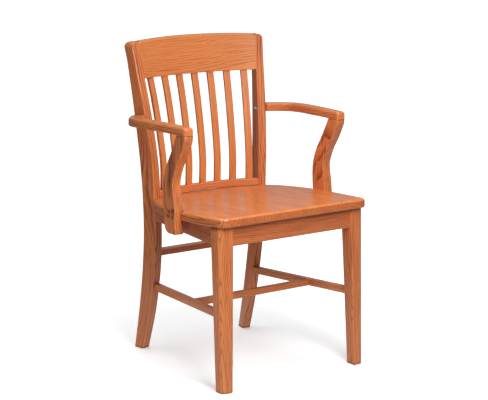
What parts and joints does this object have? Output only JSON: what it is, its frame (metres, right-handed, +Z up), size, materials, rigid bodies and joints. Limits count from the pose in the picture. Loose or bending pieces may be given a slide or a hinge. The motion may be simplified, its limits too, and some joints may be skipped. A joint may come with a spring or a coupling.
{
  "type": "wooden armchair",
  "caption": "Oak library armchair with a bowed slat back, a solid wooden seat, open arms on curved supports and splayed rear posts.",
  "frame": {"origin": "on the floor, below the middle of the chair's bounding box", "axes": "+Z up, -Y towards the front edge of the seat, +X to the right in a view from the front"},
  "size_m": [0.5356, 0.4963, 0.8507],
  "materials": {
    "oak": "satin",
    "oak_frame": "satin",
    "steel": "satin"
  },
  "bodies": {
    "root": {"seat": "oak", "back_post_left": "oak", "back_post_right": "oak", "crest_rail": "oak", "lower_back_rail": "oak", "slat_1": "oak", "slat_2": "oak", "slat_3": "oak", "slat_4": "oak", "slat_5": "oak", "slat_6": "oak", "slat_7": "oak", "front_leg_left": "oak", "front_leg_right": "oak", "front_apron": "oak_frame", "back_apron": "oak_frame", "side_apron_left": "oak_frame", "side_apron_right": "oak_frame", "side_stretcher_left": "oak", "side_stretcher_right": "oak", "cross_stretcher": "oak", "rear_stretcher": "oak", "arm_left": "oak", "arm_right": "oak", "arm_support_left": "oak", "arm_support_right": "oak", "corner_block_front_left": "oak_frame", "corner_block_front_right": "oak_frame", "corner_block_rear_left": "oak_frame", "corner_block_rear_right": "oak_frame", "arm_support_screws": "steel", "arm_support_plugs": "oak_frame", "arm_post_screws": "steel", "arm_dowels": "oak_frame", "corner_block_screws": "steel", "seat_screws": "steel"}
  },
  "joints": []
}
